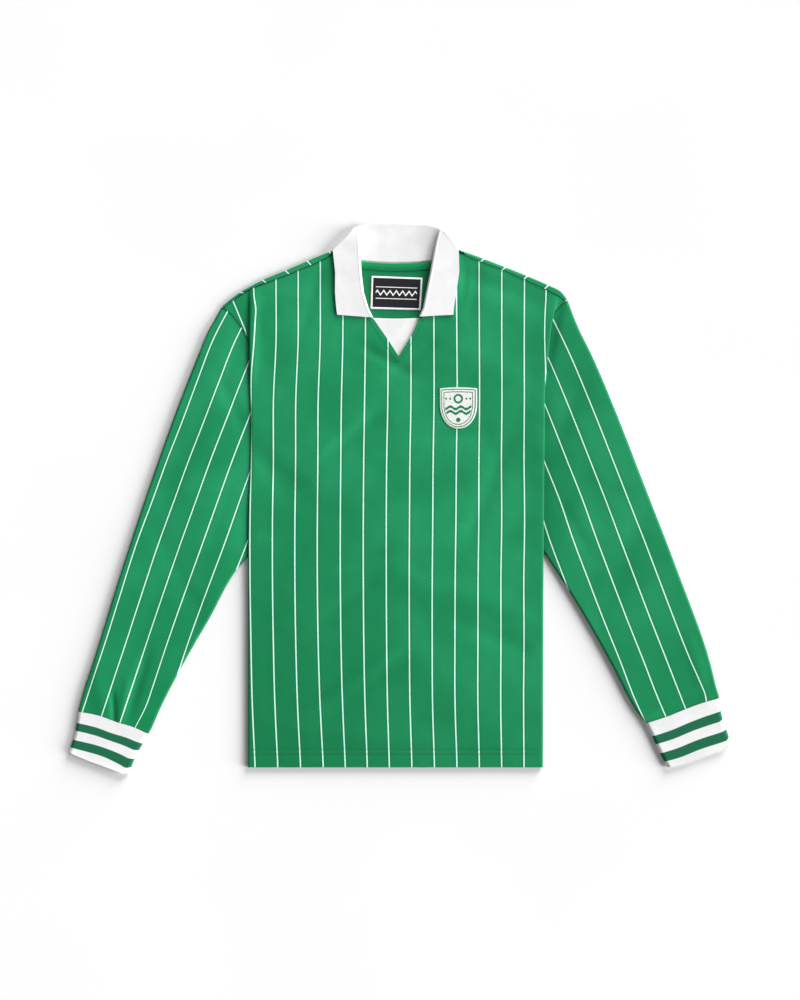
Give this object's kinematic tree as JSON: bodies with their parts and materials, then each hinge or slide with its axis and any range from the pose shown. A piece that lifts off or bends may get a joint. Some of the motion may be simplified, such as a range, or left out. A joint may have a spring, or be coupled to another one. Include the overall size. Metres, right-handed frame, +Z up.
{
  "type": "long-sleeved football shirt",
  "caption": "Long-sleeved striped football shirt with a collar, V insert, chest badge and ribbed cuffs, laid flat.",
  "frame": {"origin": "bottom centre of the laid shirt's box, on the surface it lies on", "axes": "+Z up out of the laid shirt, +Y from the hem towards the collar, +X towards the wearer's left sleeve"},
  "size_m": [0.9419, 0.7777, 0.0105],
  "materials": {
    "front": "satin knit with white pinstripes",
    "back": "satin knit with white pinstripes, plain green inside",
    "sleeve_right": "satin knit with white pinstripes",
    "sleeve_left": "satin knit with white pinstripes",
    "cuff_right": "white rib with two green bands",
    "cuff_left": "white rib with two green bands",
    "collar": "white flat-knit rib",
    "v_insert": "white rib",
    "neck_tape": "green woven tape",
    "label": "black woven satin with a pale border",
    "badge": "embroidered patch"
  },
  "bodies": {
    "root": {"front": "front", "back": "back", "sleeve_right": "sleeve_right", "sleeve_left": "sleeve_left", "cuff_right": "cuff_right", "cuff_left": "cuff_left", "collar": "collar", "v_insert": "v_insert", "neck_tape": "neck_tape", "label": "label", "badge": "badge"}
  },
  "joints": []
}
